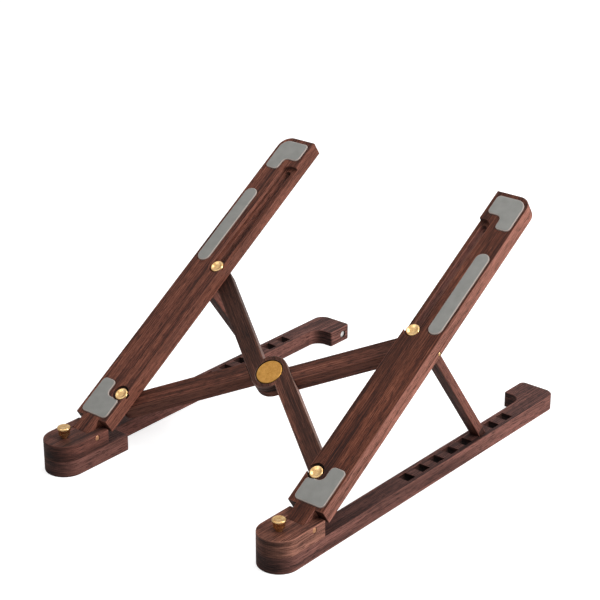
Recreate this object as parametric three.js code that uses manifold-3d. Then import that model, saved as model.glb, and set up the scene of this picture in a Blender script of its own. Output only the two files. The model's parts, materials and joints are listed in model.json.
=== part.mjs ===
// A folding wooden stand for a book: two base rails, two arms hinged to their front feet,
// a scissor brace that draws the two sides together, and a prop under each arm whose tip
// drops into one of a row of slots along the rail.
//
// Millimetres. +X is the reader's right, +Y runs to the back and +Z is up. The origin is on
// the table, midway between the rails and midway along them. The arms' own frame has its
// origin midway between the two foot pins, y along the arms and z out of their top faces.

import * as THREE from 'three';
import { mergeVertices } from 'three/addons/utils/BufferGeometryUtils.js';
import Module from 'manifold-3d';

const wasm = await Module();
wasm.setup();

// ---------------------------------------------------------------- driving dimensions

const LENGTH = 265;              // base rail, front to back
const OUTER_X = 95;              // outer faces of rails, feet and arms
const FOOT_X = 70;               // inner faces of feet and arms
const FOOT_MID_X = (OUTER_X + FOOT_X) / 2;
const RAIL_X = 82.5;             // inner face of the slim stretch of rail
const RAIL_HEIGHT = 10;
const BROAD_END_Y = 52;          // the rail is as broad as the foot up to here
const NOSE_RADIUS = 12.4;        // rounded front of rail and foot

const HOOK_X = 70.8;             // inner end of the hook at the back of the rail
const HOOK_Y = 245;              // its front face
const HOOK_FILLET = 7;
const HOOK_OUTER_RADIUS = 7;
const HOOK_INNER_RADIUS = 3;
const MAGNET_RADIUS = 2.35;
const MAGNET_THICKNESS = 2;
const MAGNET_FROM_END = 7.2;

const SLOT_COUNT = 8;
const SLOT_FIRST_Y = 117.05;     // middle of the frontmost slot
const SLOT_PITCH = 14.2;
const SLOT_LENGTH = 7;
const SLOT_WIDTH = 7.4;
const SLOT_DEPTH = 6;
const SLOT_X = 88.75;

const FOOT_LENGTH = 36;
const FOOT_TOP = 20;
const PIN_Y = 27;                // foot pin, from the front
const PIN_Z = 17.7;
const PIN_RADIUS = 1.6;
const MORTISE_FRONT_Y = 24.3;
const MORTISE_FLOOR_Z = 13;
const POST_Y = 12.4;
const POST_TENON_RADIUS = 1.9;
const POST_TENON_DEPTH = 5;
const POST_HEIGHT = 7;           // above the foot
const POST_HEAD_RADIUS = 4;
const POST_BODY_RADIUS = 3.3;
const POST_NECK_HEIGHT = 1.6;    // from the foot to the head
const POST_BODY_HEIGHT = 3.5;    // from the foot to the top of the straight part of the head
const POST_FLARE_RADIUS = 3.5;   // where the head starts to flare

const TILT = THREE.MathUtils.degToRad(32.8);
const ARM_START = 9.8;           // along the arm from the foot pin
const ARM_END = 239;
const ARM_TOP = 2.3;
const ARM_UNDERSIDE = -7.4;
const ARM_CORNER_RADIUS = 8.5;
const TONGUE_INNER_X = 76.3;
const TONGUE_OUTER_X = 88.9;
const TONGUE_UNDERSIDE = -4.2;
const TONGUE_NOSE = -2.3;
const TONGUE_TOP_RADIUS = 2.25;
const TONGUE_BOTTOM_RADIUS = 2.2;

const SCREW_X = 75;
const LOWER_SCREW_Y = 31;
const HUB_Y = 82;
const UPPER_SCREW_Y = 2 * HUB_Y - LOWER_SCREW_Y;
const HEAD_RADIUS = 4.25;
const HEAD_THICKNESS = 1.5;
const HEAD_CHAMFER = 0.35;
const SHANK_RADIUS = 2;
const COUNTERBORE_RADIUS = 5.2;
const COUNTERBORE_DEPTH = 2.4;
const NUT_RADIUS = 3.9;
const NUT_THICKNESS = 1.5;

const PAD_STAND = 0.5;           // height of the pads above the arm
const PAD_THICKNESS = 1.2;
const PAD_INNER_X = 72.5;
const PAD_OUTER_X = 92.9;
const PAD_LEG_X = 83;
const UPPER_PAD_Y = [222, 236];
const UPPER_LEG_Y = 212.5;
const LOWER_PAD_Y = [12, 26.5];
const LOWER_LEG_Y = 37;
const MIDDLE_PAD_X = 88.5;
const MIDDLE_PAD_Y = [133.5, 194];
const MIDDLE_PAD_RADIUS = 4.5;
const PAD_CORNER_RADIUS = 2.8;
const PAD_OUTER_CORNER_RADIUS = 6.3;
const PAD_NOTCH_RADIUS = 3.5;

const CLOSED_ARM_X = 0.2;        // inner face of an arm when the stand is drawn together
const BAR_INNER = 0.15;          // each half of a bar lies wholly to one side of the hub
const BAR_OUTER = 11.35;
const BAR_TOP = -7.7;
const BAR_UNDERSIDE = -17.4;
const BAR_END_PAST_SCREW = 5.9;
const BAR_END_RADIUS = 5.4;
const BOSS_RADIUS = 11.4;
const HUB_DISC_RADIUS = 8.1;
const HUB_DISC_THICKNESS = 1.5;
const HUB_RECESS_RADIUS = 8.75;
const HUB_SHANK_RADIUS = 3;
const HUB_NUT_RADIUS = 6;

const PROP_PIVOT_Y = 127.3;      // in the arms' frame
const PROP_PIVOT_Z = -5.76;
const PROP_LEAN = THREE.MathUtils.degToRad(54);
const PROP_LENGTH = 90;          // pivot to end face
const PROP_FRONT = -3.5;         // faces of the prop either side of its pivot
const PROP_BACK = 2;
const PROP_WIDTH = 7.8;
const PROP_TIP_WIDTH = 6.8;
const PROP_TIP_LENGTH = 7;
const PROP_PIN_RADIUS = 1.2;
const PROP_PIN_PAST = 4;         // how far the pin runs into the arm past the prop
const PROP_TOP_RADIUS = 1.9;
const PROP_SHOULDER = 1.5;       // slopes back from here to clear the channel when it swings
const CHANNEL_TOP = -3.4;
const CHANNEL_Y = [122.2, 218.5];
const CHANNEL_SIDE_GAP = 0.5;

const HAIR = 0.01;               // keeps the two arcs of a round end from meeting
const GAP = 0.3;                 // between neighbours that rest on or turn in each other
const PIN_GAP = 0.1;             // round the slender pins
const PAST = 1;                  // how far a cutter runs past the face it opens
const ARC_SEGMENTS = 3;
const ROUND_SEGMENTS = 24;

// Closed position of the brace: the screws stand this far from the hub's centre plane.
const BAR_REACH = Math.hypot(SCREW_X, HUB_Y - LOWER_SCREW_Y);
const SCREW_OFFSET = SCREW_X - FOOT_X + CLOSED_ARM_X;
const OPEN_ANGLE = Math.atan2(SCREW_X, HUB_Y - LOWER_SCREW_Y) - Math.asin(SCREW_OFFSET / BAR_REACH);
const SCREW_ALONG_BAR = Math.sqrt(BAR_REACH ** 2 - SCREW_OFFSET ** 2);
const CLOSED_UPPER_SCREW_Y = LOWER_SCREW_Y + 2 * SCREW_ALONG_BAR;

// ---------------------------------------------------------------- materials

const walnut = { color: 0x5a3730, roughness: 0.55, metalness: 0 };
const brass = { color: 0xd8b568, roughness: 0.28, metalness: 1 };
const silicone = { color: 0x8f908c, roughness: 0.85, metalness: 0 };
const steel = { color: 0xc9c6c0, roughness: 0.3, metalness: 1 };

// ---------------------------------------------------------------- solids

function toSolid(geometry) {
  const bare = geometry.clone();
  bare.deleteAttribute('normal');
  bare.deleteAttribute('uv');
  const merged = mergeVertices(bare, 1e-4);
  return new wasm.Manifold(new wasm.Mesh({
    numProp: 3,
    vertProperties: new Float32Array(merged.attributes.position.array),
    triVerts: new Uint32Array(merged.index.array),
  }));
}

function toGeometry(solid) {
  const { vertProperties, triVerts } = solid.getMesh();
  const geometry = new THREE.BufferGeometry();
  geometry.setAttribute('position', new THREE.BufferAttribute(vertProperties, 3));
  geometry.setIndex(new THREE.BufferAttribute(triVerts, 1));
  geometry.computeVertexNormals();
  return geometry;
}

function piece(name, solid, finish) {
  const mesh = new THREE.Mesh(toGeometry(solid), new THREE.MeshStandardMaterial(finish));
  mesh.name = name;
  return mesh;
}

// A closed outline through [x, y, radius] corners, each turned with an arc of its radius.
function outline(corners) {
  const shape = new THREE.Shape();
  corners.forEach(([x, y, radius = 0], i) => {
    if (radius === 0) {
      if (i === 0) shape.moveTo(x, y);
      else shape.lineTo(x, y);
      return;
    }
    const corner = new THREE.Vector2(x, y);
    const [beforeX, beforeY] = corners.at(i - 1);
    const [afterX, afterY] = corners[(i + 1) % corners.length];
    const before = new THREE.Vector2(beforeX, beforeY).sub(corner).normalize();
    const after = new THREE.Vector2(afterX, afterY).sub(corner).normalize();
    const half = Math.acos(before.dot(after)) / 2;
    const centre = before.clone().add(after).setLength(radius / Math.sin(half)).add(corner);
    const from = before.clone().multiplyScalar(radius / Math.tan(half)).add(corner).sub(centre);
    const to = after.clone().multiplyScalar(radius / Math.tan(half)).add(corner).sub(centre);
    shape.absarc(centre.x, centre.y, radius, from.angle(), to.angle(), before.cross(after) > 0);
  });
  return shape;
}

// The same outline on the left (side -1) or the right (side 1).
function sided(side, corners) {
  return outline(corners.map(([x, y, radius]) => [side * x, y, radius]));
}

// A shape drawn in plan, standing between two heights.
function prismZ(shape, z0, z1) {
  const settings = { depth: z1 - z0, bevelEnabled: false, curveSegments: ARC_SEGMENTS };
  return toSolid(new THREE.ExtrudeGeometry(shape, settings).translate(0, 0, z0));
}

// A shape drawn in side view (y, z), running between two values of x.
function prismX(shape, x0, x1) {
  const settings = { depth: Math.abs(x1 - x0), bevelEnabled: false, curveSegments: ARC_SEGMENTS };
  const geometry = new THREE.ExtrudeGeometry(shape, settings);
  const turn = new THREE.Matrix4().makeBasis(
    new THREE.Vector3(0, 1, 0), new THREE.Vector3(0, 0, 1), new THREE.Vector3(1, 0, 0));
  return toSolid(geometry.applyMatrix4(turn).translate(Math.min(x0, x1), 0, 0));
}

function block(x0, x1, y0, y1, z0, z1) {
  const geometry = new THREE.BoxGeometry(Math.abs(x1 - x0), y1 - y0, z1 - z0);
  return toSolid(geometry.translate((x0 + x1) / 2, (y0 + y1) / 2, (z0 + z1) / 2));
}

function rodZ(radius, x, y, z0, z1) {
  const geometry = new THREE.CylinderGeometry(radius, radius, z1 - z0, ROUND_SEGMENTS);
  return toSolid(geometry.rotateX(Math.PI / 2).translate(x, y, (z0 + z1) / 2));
}

function rodX(radius, x0, x1, y, z) {
  const length = Math.abs(x1 - x0);
  const geometry = new THREE.CylinderGeometry(radius, radius, length, ROUND_SEGMENTS);
  return toSolid(geometry.rotateZ(Math.PI / 2).translate((x0 + x1) / 2, y, z));
}

// A profile of [radius, height] points turned about an upright axis at (x, y).
function turned(profile, x, y) {
  const points = profile.map(([radius, height]) => new THREE.Vector2(radius, height));
  const geometry = new THREE.LatheGeometry(points, ROUND_SEGMENTS);
  return toSolid(geometry.rotateX(Math.PI / 2).translate(x, y, 0));
}

// ---------------------------------------------------------------- base

function baseRail(side) {
  let rail = prismZ(sided(side, [
    [OUTER_X, 0, NOSE_RADIUS],
    [OUTER_X, LENGTH, HOOK_OUTER_RADIUS],
    [HOOK_X, LENGTH, HOOK_INNER_RADIUS],
    [HOOK_X, HOOK_Y, 1],
    [RAIL_X, HOOK_Y, HOOK_FILLET],
    [RAIL_X, BROAD_END_Y],
    [FOOT_X, BROAD_END_Y, 1],
    [FOOT_X, 0, NOSE_RADIUS],
  ]), 0, RAIL_HEIGHT);
  for (let i = 0; i < SLOT_COUNT; i += 1) {
    const y = SLOT_FIRST_Y + i * SLOT_PITCH;
    rail = rail.subtract(block(
      side * (SLOT_X - SLOT_WIDTH / 2), side * (SLOT_X + SLOT_WIDTH / 2),
      y - SLOT_LENGTH / 2, y + SLOT_LENGTH / 2,
      RAIL_HEIGHT - SLOT_DEPTH, RAIL_HEIGHT + PAST));
  }
  const pocket = rodX(
    MAGNET_RADIUS + PIN_GAP, side * (HOOK_X - PAST), side * (HOOK_X + MAGNET_THICKNESS + PIN_GAP),
    LENGTH - MAGNET_FROM_END, RAIL_HEIGHT / 2);
  return rail.subtract(pocket);
}

function magnet(side) {
  return rodX(
    MAGNET_RADIUS, side * HOOK_X, side * (HOOK_X + MAGNET_THICKNESS),
    LENGTH - MAGNET_FROM_END, RAIL_HEIGHT / 2);
}

function footBlock(side) {
  const body = prismZ(sided(side, [
    [OUTER_X, 0, NOSE_RADIUS],
    [OUTER_X, FOOT_LENGTH],
    [FOOT_X, FOOT_LENGTH],
    [FOOT_X, 0, NOSE_RADIUS],
  ]), RAIL_HEIGHT, FOOT_TOP);
  const mortise = block(
    side * (TONGUE_INNER_X - GAP), side * (TONGUE_OUTER_X + GAP),
    MORTISE_FRONT_Y, FOOT_LENGTH + PAST, MORTISE_FLOOR_Z, FOOT_TOP + PAST);
  const pinHole = rodX(
    PIN_RADIUS + PIN_GAP, side * (FOOT_X - PAST), side * (OUTER_X + PAST), PIN_Y, PIN_Z);
  const postHole = rodZ(
    POST_TENON_RADIUS + PIN_GAP, side * FOOT_MID_X, POST_Y,
    FOOT_TOP - POST_TENON_DEPTH - PIN_GAP, FOOT_TOP + PAST);
  return body.subtract(mortise).subtract(pinHole).subtract(postHole);
}

function footPin(side) {
  return rodX(PIN_RADIUS, side * FOOT_X, side * OUTER_X, PIN_Y, PIN_Z);
}

// A turned stop for the lower edge of the book: a plain tenon in the foot, a short neck and
// a deep head, straight below and flaring above.
function footPost(side) {
  const tenonEnd = FOOT_TOP - POST_TENON_DEPTH;
  const neckTop = FOOT_TOP + POST_NECK_HEIGHT;
  const bodyTop = FOOT_TOP + POST_BODY_HEIGHT;
  const top = FOOT_TOP + POST_HEIGHT;
  return turned([
    [0, tenonEnd],
    [POST_TENON_RADIUS, tenonEnd],
    [POST_TENON_RADIUS, neckTop],
    [POST_BODY_RADIUS, neckTop + HEAD_CHAMFER],
    [POST_BODY_RADIUS, bodyTop],
    [POST_FLARE_RADIUS, bodyTop + HEAD_CHAMFER],
    [POST_HEAD_RADIUS, top - 2 * HEAD_CHAMFER],
    [POST_HEAD_RADIUS, top - HEAD_CHAMFER],
    [POST_HEAD_RADIUS - HEAD_CHAMFER, top],
    [0, top],
  ], side * FOOT_MID_X, POST_Y);
}

// ---------------------------------------------------------------- arms

function upperPadOutline(side, grow) {
  return sided(side, [
    [PAD_INNER_X - grow, UPPER_PAD_Y[0] - grow, PAD_CORNER_RADIUS],
    [PAD_LEG_X - grow, UPPER_PAD_Y[0] - grow, PAD_NOTCH_RADIUS],
    [PAD_LEG_X - grow, UPPER_LEG_Y - grow, PAD_CORNER_RADIUS],
    [PAD_OUTER_X + grow, UPPER_LEG_Y - grow, PAD_CORNER_RADIUS],
    [PAD_OUTER_X + grow, UPPER_PAD_Y[1] + grow, PAD_OUTER_CORNER_RADIUS],
    [PAD_INNER_X - grow, UPPER_PAD_Y[1] + grow, PAD_CORNER_RADIUS],
  ]);
}

function middlePadOutline(side, grow) {
  const radius = MIDDLE_PAD_RADIUS + grow - HAIR;
  const halfWidth = MIDDLE_PAD_RADIUS + grow;
  return sided(side, [
    [MIDDLE_PAD_X - halfWidth, MIDDLE_PAD_Y[0] - grow, radius],
    [MIDDLE_PAD_X + halfWidth, MIDDLE_PAD_Y[0] - grow, radius],
    [MIDDLE_PAD_X + halfWidth, MIDDLE_PAD_Y[1] + grow, radius],
    [MIDDLE_PAD_X - halfWidth, MIDDLE_PAD_Y[1] + grow, radius],
  ]);
}

function lowerPadOutline(side, grow) {
  return sided(side, [
    [PAD_INNER_X - grow, LOWER_PAD_Y[0] - grow, PAD_CORNER_RADIUS],
    [PAD_OUTER_X + grow, LOWER_PAD_Y[0] - grow, PAD_CORNER_RADIUS],
    [PAD_OUTER_X + grow, LOWER_LEG_Y + grow, PAD_CORNER_RADIUS],
    [PAD_LEG_X - grow, LOWER_LEG_Y + grow, PAD_CORNER_RADIUS],
    [PAD_LEG_X - grow, LOWER_PAD_Y[1] + grow, PAD_NOTCH_RADIUS],
    [PAD_INNER_X - grow, LOWER_PAD_Y[1] + grow, PAD_CORNER_RADIUS],
  ]);
}

const padOutlines = { upper: upperPadOutline, middle: middlePadOutline, lower: lowerPadOutline };

function pad(side, place) {
  const top = ARM_TOP + PAD_STAND;
  const sheet = prismZ(padOutlines[place](side, 0), top - PAD_THICKNESS, top);
  const screwWell = rodZ(
    COUNTERBORE_RADIUS + PIN_GAP, side * SCREW_X, LOWER_SCREW_Y, ARM_UNDERSIDE, ARM_TOP + PAST);
  return sheet.subtract(screwWell);
}

function padRecess(side, place) {
  const floor = ARM_TOP + PAD_STAND - PAD_THICKNESS - GAP;
  return prismZ(padOutlines[place](side, GAP), floor, ARM_TOP + PAST);
}

// The tongue that fills the foot's mortise: flush on top and rounded about the foot pin.
function tongue(side) {
  const sideView = outline([
    [TONGUE_NOSE, ARM_TOP, TONGUE_TOP_RADIUS],
    [TONGUE_NOSE, TONGUE_UNDERSIDE, TONGUE_BOTTOM_RADIUS],
    [ARM_START + PAST, TONGUE_UNDERSIDE],
    [ARM_START + PAST, ARM_TOP],
  ]);
  return prismX(sideView, side * TONGUE_INNER_X, side * TONGUE_OUTER_X);
}

// The rabbet that the upper screw's head slides in, and the slot for its shank.
function screwTrack(side) {
  const rabbetFloor = ARM_TOP - COUNTERBORE_DEPTH;
  const end = COUNTERBORE_RADIUS - HAIR;
  const rabbet = prismZ(sided(side, [
    [FOOT_X - PAST, UPPER_SCREW_Y],
    [SCREW_X + COUNTERBORE_RADIUS, UPPER_SCREW_Y],
    [SCREW_X + COUNTERBORE_RADIUS, CLOSED_UPPER_SCREW_Y + COUNTERBORE_RADIUS, end],
    [FOOT_X - PAST, CLOSED_UPPER_SCREW_Y + COUNTERBORE_RADIUS],
  ]), rabbetFloor, ARM_TOP + PAST);
  const rabbetFoot = rodZ(
    COUNTERBORE_RADIUS, side * SCREW_X, UPPER_SCREW_Y, rabbetFloor, ARM_TOP + PAST);
  const halfSlot = SHANK_RADIUS + GAP;
  const slotEnd = halfSlot - HAIR;
  const slot = prismZ(sided(side, [
    [SCREW_X - halfSlot, UPPER_SCREW_Y - halfSlot, slotEnd],
    [SCREW_X + halfSlot, UPPER_SCREW_Y - halfSlot, slotEnd],
    [SCREW_X + halfSlot, CLOSED_UPPER_SCREW_Y + halfSlot, slotEnd],
    [SCREW_X - halfSlot, CLOSED_UPPER_SCREW_Y + halfSlot, slotEnd],
  ]), ARM_UNDERSIDE - PAST, ARM_TOP);
  return rabbet.add(rabbetFoot).add(slot);
}

function lowerScrewHole(side) {
  const x = side * SCREW_X;
  const well = rodZ(
    COUNTERBORE_RADIUS, x, LOWER_SCREW_Y, ARM_TOP - COUNTERBORE_DEPTH, ARM_TOP + PAST);
  const hole = rodZ(SHANK_RADIUS + GAP, x, LOWER_SCREW_Y, ARM_UNDERSIDE - PAST, ARM_TOP);
  return well.add(hole);
}

// The channel under the arm that the prop swings up into.
function propChannel(side) {
  const halfWidth = PROP_WIDTH / 2 + CHANNEL_SIDE_GAP;
  return block(
    side * (SLOT_X - halfWidth), side * (SLOT_X + halfWidth),
    CHANNEL_Y[0], CHANNEL_Y[1], ARM_UNDERSIDE - PAST, CHANNEL_TOP);
}

function propPinEnds() {
  return [SLOT_X - PROP_WIDTH / 2 - PROP_PIN_PAST, OUTER_X];
}

function arm(side) {
  const plank = prismZ(sided(side, [
    [FOOT_X, ARM_START],
    [OUTER_X, ARM_START],
    [OUTER_X, ARM_END, ARM_CORNER_RADIUS],
    [FOOT_X, ARM_END],
  ]), ARM_UNDERSIDE, ARM_TOP);
  const footHole = rodX(
    PIN_RADIUS + PIN_GAP, side * (TONGUE_INNER_X - PAST), side * (TONGUE_OUTER_X + PAST), 0, 0);
  const [pinFrom, pinTo] = propPinEnds();
  const propPinHole = rodX(
    PROP_PIN_RADIUS + PIN_GAP, side * (pinFrom - PIN_GAP), side * (pinTo + PAST),
    PROP_PIVOT_Y, PROP_PIVOT_Z);
  const cuts = [
    footHole,
    screwTrack(side),
    lowerScrewHole(side),
    propChannel(side),
    propPinHole,
    padRecess(side, 'upper'),
    padRecess(side, 'middle'),
    padRecess(side, 'lower'),
  ];
  return cuts.reduce((wood, cut) => wood.subtract(cut), plank.add(tongue(side)));
}

function propPin(side) {
  const [from, to] = propPinEnds();
  return rodX(PROP_PIN_RADIUS, side * from, side * to, PROP_PIVOT_Y, PROP_PIVOT_Z);
}

// ---------------------------------------------------------------- scissor brace

// One half of a bar in plan, lying along +y from the hub and wholly to one side of it.
function halfBar(side, grow) {
  const inner = side * (BAR_INNER - grow);
  const outer = side * (BAR_OUTER + grow);
  const end = SCREW_ALONG_BAR + BAR_END_PAST_SCREW + grow;
  return prismZ(outline([
    [inner, 0],
    [outer, 0],
    [outer, end, BAR_END_RADIUS],
    [inner, end, BAR_END_RADIUS],
  ]), BAR_UNDERSIDE - grow, BAR_TOP + grow);
}

// The whole bar, turned open about the hub. The boss grows by twice as much as the rest, so
// that no fin of wood is left where the other bar's boss turns.
function barBlank(side, grow) {
  const half = halfBar(side, grow);
  const boss = rodZ(BOSS_RADIUS + 2 * grow, 0, 0, BAR_UNDERSIDE - grow, BAR_TOP + grow);
  const opened = THREE.MathUtils.radToDeg(-side * OPEN_ANGLE);
  return half.add(half.rotate([0, 0, 180])).add(boss).rotate([0, 0, opened]).translate([0, HUB_Y, 0]);
}

function layer(z0, z1) {
  return block(-2 * OUTER_X, 2 * OUTER_X, -LENGTH, LENGTH, z0, z1);
}

function barScrewHole(side, y) {
  const x = side * SCREW_X;
  const hole = rodZ(SHANK_RADIUS + GAP, x, y, BAR_UNDERSIDE - PAST, BAR_TOP + PAST);
  const nutWell = rodZ(
    NUT_RADIUS + GAP, x, y, BAR_UNDERSIDE - PAST, BAR_UNDERSIDE + NUT_THICKNESS + GAP);
  return hole.add(nutWell);
}

// The bars are halved into each other. Bar A (left foot to right head) keeps its lower
// half at the crossing, and bar B (right foot to left head) keeps its upper half.
const CROSSING_Z = (BAR_TOP + BAR_UNDERSIDE) / 2;

function scissorBar(side) {
  const lap = side === 1
    ? layer(CROSSING_Z - GAP / 2, BAR_TOP + 2 * PAST)
    : layer(BAR_UNDERSIDE - 2 * PAST, CROSSING_Z + GAP / 2);
  const hubHole = rodZ(HUB_SHANK_RADIUS + GAP, 0, HUB_Y, BAR_UNDERSIDE - PAST, BAR_TOP + PAST);
  const discWell = rodZ(
    HUB_RECESS_RADIUS, 0, HUB_Y, BAR_TOP - HUB_DISC_THICKNESS - GAP, BAR_TOP + PAST);
  const nutWell = rodZ(
    HUB_NUT_RADIUS + GAP, 0, HUB_Y, BAR_UNDERSIDE - PAST, BAR_UNDERSIDE + NUT_THICKNESS + GAP);
  return barBlank(side, 0)
    .subtract(barBlank(-side, GAP).intersect(lap))
    .subtract(hubHole)
    .subtract(side === 1 ? nutWell : discWell)
    .subtract(barScrewHole(-side, LOWER_SCREW_Y))
    .subtract(barScrewHole(side, UPPER_SCREW_Y));
}

function screw(side, y) {
  const seat = ARM_TOP - COUNTERBORE_DEPTH + GAP;
  return turned([
    [0, BAR_UNDERSIDE],
    [SHANK_RADIUS, BAR_UNDERSIDE],
    [SHANK_RADIUS, seat],
    [HEAD_RADIUS, seat],
    [HEAD_RADIUS, seat + HEAD_THICKNESS - HEAD_CHAMFER],
    [HEAD_RADIUS - HEAD_CHAMFER, seat + HEAD_THICKNESS],
    [0, seat + HEAD_THICKNESS],
  ], side * SCREW_X, y);
}

function nut(outerRadius, innerRadius, x, y) {
  const ring = rodZ(outerRadius, x, y, BAR_UNDERSIDE, BAR_UNDERSIDE + NUT_THICKNESS);
  return ring.subtract(rodZ(innerRadius, x, y, BAR_UNDERSIDE - PAST, BAR_TOP));
}

function hubPin() {
  const seat = BAR_TOP - HUB_DISC_THICKNESS;
  return turned([
    [0, BAR_UNDERSIDE],
    [HUB_SHANK_RADIUS, BAR_UNDERSIDE],
    [HUB_SHANK_RADIUS, seat],
    [HUB_DISC_RADIUS, seat],
    [HUB_DISC_RADIUS, BAR_TOP - HEAD_CHAMFER],
    [HUB_DISC_RADIUS - HEAD_CHAMFER, BAR_TOP],
    [0, BAR_TOP],
  ], 0, HUB_Y);
}

// ---------------------------------------------------------------- props

// Drawn with the pivot at the origin and y running down to the tip. The square-cut end
// meets the slot's back edge, and its front corner drops into the slot.
function prop(side) {
  const sideView = outline([
    [-PROP_BACK, PROP_BACK, PROP_TOP_RADIUS],
    [PROP_LENGTH, PROP_BACK],
    [PROP_LENGTH, PROP_FRONT],
    [PROP_SHOULDER, PROP_FRONT, 1],
    [-PROP_BACK, 0],
  ]);
  const halfWidth = PROP_WIDTH / 2;
  const bar = prismX(sideView, side * (SLOT_X - halfWidth), side * (SLOT_X + halfWidth));
  const halfTip = PROP_TIP_WIDTH / 2;
  const tipStart = PROP_LENGTH - PROP_TIP_LENGTH;
  const taper = prismZ(sided(side, [
    [SLOT_X - halfWidth, -2 * PROP_BACK],
    [SLOT_X + halfWidth, -2 * PROP_BACK],
    [SLOT_X + halfWidth, tipStart],
    [SLOT_X + halfTip, PROP_LENGTH],
    [SLOT_X - halfTip, PROP_LENGTH],
    [SLOT_X - halfWidth, tipStart],
  ]), 2 * PROP_FRONT, 2 * PROP_BACK);
  const pivotHole = rodX(
    PROP_PIN_RADIUS + PIN_GAP, side * (SLOT_X - PROP_WIDTH), side * (SLOT_X + PROP_WIDTH), 0, 0);
  return bar.intersect(taper).subtract(pivotHole);
}

// ---------------------------------------------------------------- assembly

const stand = new THREE.Group();
stand.position.y = -LENGTH / 2;

const arms = new THREE.Group();
arms.position.set(0, PIN_Y, PIN_Z);
arms.rotation.x = TILT;
stand.add(arms);

const sides = [['left', -1], ['right', 1]];
for (const [word, side] of sides) {
  stand.add(
    piece(`${word}_base_rail`, baseRail(side), walnut),
    piece(`${word}_foot_block`, footBlock(side), walnut),
    piece(`${word}_foot_post`, footPost(side), brass),
    piece(`${word}_foot_pin`, footPin(side), brass),
    piece(`${word}_magnet`, magnet(side), steel),
  );

  arms.add(
    piece(`${word}_arm`, arm(side), walnut),
    piece(`${word}_upper_pad`, pad(side, 'upper'), silicone),
    piece(`${word}_middle_pad`, pad(side, 'middle'), silicone),
    piece(`${word}_lower_pad`, pad(side, 'lower'), silicone),
    piece(`${word}_lower_screw`, screw(side, LOWER_SCREW_Y), brass),
    piece(`${word}_lower_nut`,
      nut(NUT_RADIUS, SHANK_RADIUS + GAP, side * SCREW_X, LOWER_SCREW_Y), brass),
    piece(`${word}_upper_screw`, screw(side, UPPER_SCREW_Y), brass),
    piece(`${word}_upper_nut`,
      nut(NUT_RADIUS, SHANK_RADIUS + GAP, side * SCREW_X, UPPER_SCREW_Y), brass),
    piece(`${word}_prop_pin`, propPin(side), brass),
  );

  const leg = piece(`${word}_prop`, prop(side), walnut);
  leg.position.set(0, PROP_PIVOT_Y, PROP_PIVOT_Z);
  leg.rotation.x = -PROP_LEAN - TILT;
  arms.add(leg);
}

arms.add(
  piece('scissor_bar_a', scissorBar(1), walnut),
  piece('scissor_bar_b', scissorBar(-1), walnut),
  piece('hub_pin', hubPin(), brass),
  piece('hub_nut', nut(HUB_NUT_RADIUS, HUB_SHANK_RADIUS + GAP, 0, HUB_Y), brass),
);

export default stand;
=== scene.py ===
"""The looks of a folding walnut and brass book stand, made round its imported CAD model.

Every piece is drawn in millimetres in a frame of its own, where y runs along the piece, and is
then stood in its place in the row frame. A vertex keeps those millimetres in the attribute
"local", so the wood grain and the turning marks follow the piece wherever it moves.
"""

import json
import math

import bmesh
import bpy
from mathutils import Matrix, Vector


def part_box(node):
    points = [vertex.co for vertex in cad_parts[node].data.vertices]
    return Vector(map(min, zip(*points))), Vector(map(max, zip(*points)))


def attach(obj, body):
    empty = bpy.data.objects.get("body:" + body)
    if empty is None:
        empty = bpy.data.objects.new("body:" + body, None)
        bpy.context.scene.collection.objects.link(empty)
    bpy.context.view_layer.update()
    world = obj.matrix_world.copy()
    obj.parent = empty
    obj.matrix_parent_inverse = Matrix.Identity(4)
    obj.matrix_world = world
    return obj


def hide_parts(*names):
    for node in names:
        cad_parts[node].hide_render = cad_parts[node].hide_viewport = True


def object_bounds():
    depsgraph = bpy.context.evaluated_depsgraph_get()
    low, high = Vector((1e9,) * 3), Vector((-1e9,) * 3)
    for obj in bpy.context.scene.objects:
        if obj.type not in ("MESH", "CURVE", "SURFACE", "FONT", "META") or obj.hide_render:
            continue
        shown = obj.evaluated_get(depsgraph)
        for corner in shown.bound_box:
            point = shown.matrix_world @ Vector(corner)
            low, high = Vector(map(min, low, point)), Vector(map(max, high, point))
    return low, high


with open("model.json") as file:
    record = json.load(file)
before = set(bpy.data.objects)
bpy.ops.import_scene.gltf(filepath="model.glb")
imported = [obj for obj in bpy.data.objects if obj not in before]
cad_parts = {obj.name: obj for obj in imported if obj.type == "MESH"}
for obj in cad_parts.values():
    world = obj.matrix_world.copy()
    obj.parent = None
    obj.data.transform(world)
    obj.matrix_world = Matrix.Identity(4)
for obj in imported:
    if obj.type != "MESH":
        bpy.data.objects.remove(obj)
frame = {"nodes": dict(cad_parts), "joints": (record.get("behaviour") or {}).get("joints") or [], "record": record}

cad_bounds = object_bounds()
MM = 0.001
SIDES = {"left": -1, "right": 1}


# ------------------------------------------------------------------ frames and sizes from the CAD

def joint_axis(name):
    return Vector(next(j["axis"] for j in frame["joints"] if j["name"] == name))


def span(node, place):
    """Lowest and highest corner of a CAD node, in millimetres in the frame of the given place."""
    back = place.inverted()
    points = [back @ v.co / MM for v in frame["nodes"][node].data.vertices]
    low = Vector([min(p[i] for p in points) for i in range(3)])
    high = Vector([max(p[i] for p in points) for i in range(3)])
    return low, high


def shifted(place, x, y, z=0.0):
    return place @ Matrix.Translation(Vector((x, y, z)) * MM)


# Base frame: y from the front ends of the rails. Arms' frame: origin midway between the foot
# pins, y along the arms, z out of their top faces.
BASE = Matrix.Translation((0, cad_bounds[0].y, 0))
out_of_arms = joint_axis("close")
TILT = math.atan2(-out_of_arms.y, out_of_arms.z)
pin_low, pin_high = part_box("right_foot_pin")
ARMS = Matrix.Translation((0, (pin_low.y + pin_high.y) / 2, (pin_low.z + pin_high.z) / 2))
ARMS = ARMS @ Matrix.Rotation(TILT, 4, "X")

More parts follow.
